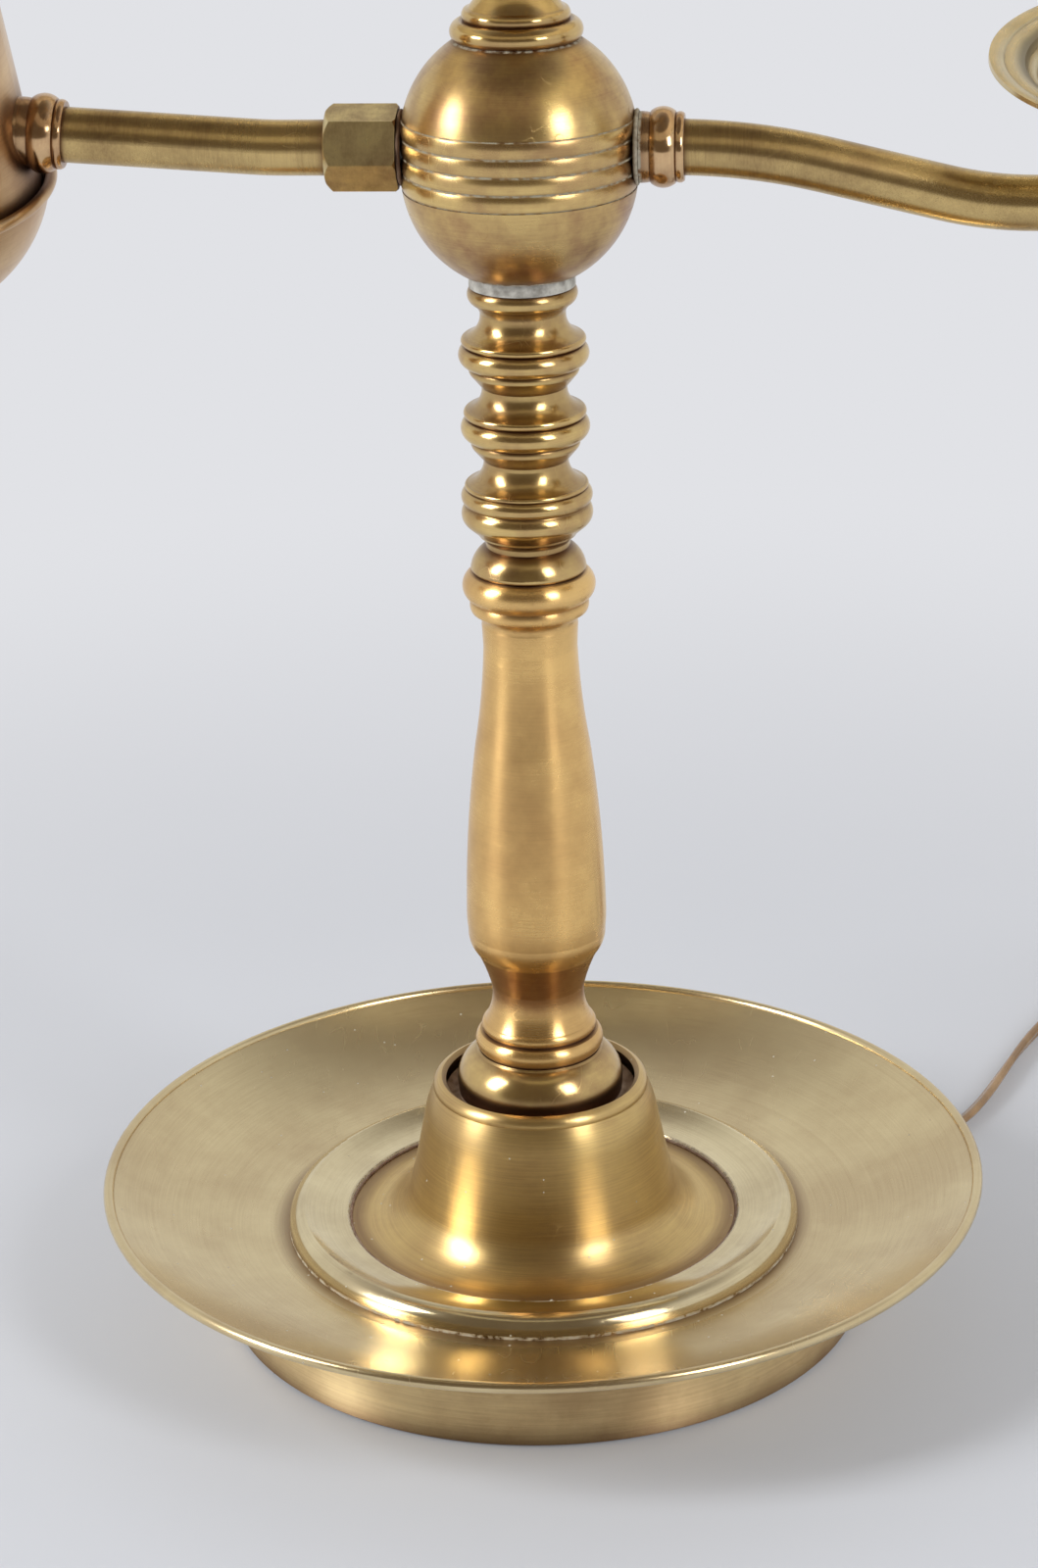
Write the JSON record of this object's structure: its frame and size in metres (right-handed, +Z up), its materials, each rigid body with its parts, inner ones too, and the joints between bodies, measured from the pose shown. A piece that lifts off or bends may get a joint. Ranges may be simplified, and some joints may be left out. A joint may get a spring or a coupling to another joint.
{
  "type": "bouillotte lamp",
  "caption": "Brass table lamp with a dish base, a turned stem, a ball hub with a reservoir arm and a candle arm, and a sliding painted metal shade.",
  "frame": {"origin": "middle of the felt pad's underside, on the stem's axis, at table height", "axes": "+Z up along the stem, +X from the stem to the candle arm, +Y to the back, where the cord lies"},
  "size_m": [0.4816, 0.4938, 0.6751],
  "materials": {
    "brass_polished": "polished",
    "brass_satin": "satin, lathe-brushed",
    "brass_patina": "brushed, brown patina",
    "brass_tarnished": "satin, grey-brown tarnish",
    "steel": "satin",
    "washer_metal": "rough",
    "cast_iron": "as cast",
    "felt": "matte",
    "shade_paint": "satin",
    "candle_ivory": "satin",
    "insulator": "matte",
    "knob_black": "gloss",
    "bulb_glass": "clear",
    "filament": "satin",
    "grommet": "matte",
    "cord_jacket": "clear jacket over gold-brown wire",
    "lead_jacket": "matte",
    "plug_brown": "satin",
    "plug_brass": "polished"
  },
  "bodies": {
    "base": {"felt_pad": "felt", "foot_ring": "brass_patina", "ballast": "cast_iron", "base_dish": "brass_satin", "step_ring": "brass_satin", "base_bell": "brass_polished", "stem_spacer": "steel", "seat_disc": "steel", "stem_foot": "brass_polished", "stem_vase": "brass_satin", "stem_baluster": "brass_polished", "stem_washer": "washer_metal", "centre_rod": "steel", "rod_nuts": "steel", "rod_washers": "steel", "cord_grommet": "grommet", "stem_lead": "lead_jacket", "cord_tube": "cord_jacket", "cord_coil": "cord_jacket", "cord_tail": "cord_jacket", "plug_body": "plug_brown", "plug_blades": "plug_brass"},
    "hub": {"hub_core": "steel", "ball_lower": "brass_polished", "ball_band": "brass_polished", "ball_upper": "brass_polished", "ball_collar": "brass_polished", "upper_neck": "brass_polished", "shade_rod": "brass_polished", "finial": "brass_polished"},
    "arms": {"spindle": "steel", "union_nut": "brass_tarnished", "left_tube": "brass_satin", "left_collar": "brass_polished", "reservoir_body": "brass_satin", "reservoir_bowl": "brass_polished", "bowl_knob": "brass_polished", "right_collar": "brass_polished", "right_tube": "brass_satin", "bobeche_socket": "brass_polished", "bobeche": "brass_polished", "burner_nipple": "steel", "candle_cup": "brass_polished", "switch_body": "insulator", "candle_sleeve": "candle_ivory", "lamp_socket": "insulator", "bulb_base": "plug_brass", "bulb_glass": "bulb_glass", "bulb_filament": "filament", "arm_lead": "lead_jacket"},
    "lid": {"reservoir_lid": "brass_satin", "lid_knob": "brass_polished"},
    "switch": {"switch_knob": "knob_black"},
    "shade": {"shade_skin": "shade_paint", "shade_rolls": "brass_polished", "shade_spider": "brass_polished", "shade_hub": "brass_polished"},
    "key": {"shade_key": "brass_polished"}
  },
  "joints": [
    {"name": "hub_swivel", "type": "hinge", "parent": "base", "child": "hub", "pos_m": [0, 0, 0.33904], "axis": [0, 0, 1], "range_deg": [-90, 90]},
    {"name": "arm_tilt", "type": "hinge", "parent": "hub", "child": "arms", "pos_m": [0, 0, 0.33904], "axis": [1, 0, 0], "range_deg": [-30, 10]},
    {"name": "lid_lift", "type": "slide", "parent": "arms", "child": "lid", "axis": [0, -0.1736, 0.9848], "range_m": [0, 0.025]},
    {"name": "switch_turn", "type": "hinge", "parent": "arms", "child": "switch", "pos_m": [0.1725, -0.00372, 0.36011], "axis": [0, -0.9848, -0.1736], "continuous": true},
    {"name": "shade_slide", "type": "slide", "parent": "hub", "child": "shade", "axis": [0, 0, 1], "range_m": [-0.035, 0.03]},
    {"name": "key_turn", "type": "hinge", "parent": "shade", "child": "key", "pos_m": [0, -0.02, 0.58], "axis": [0, -1, 0], "continuous": true}
  ]
}
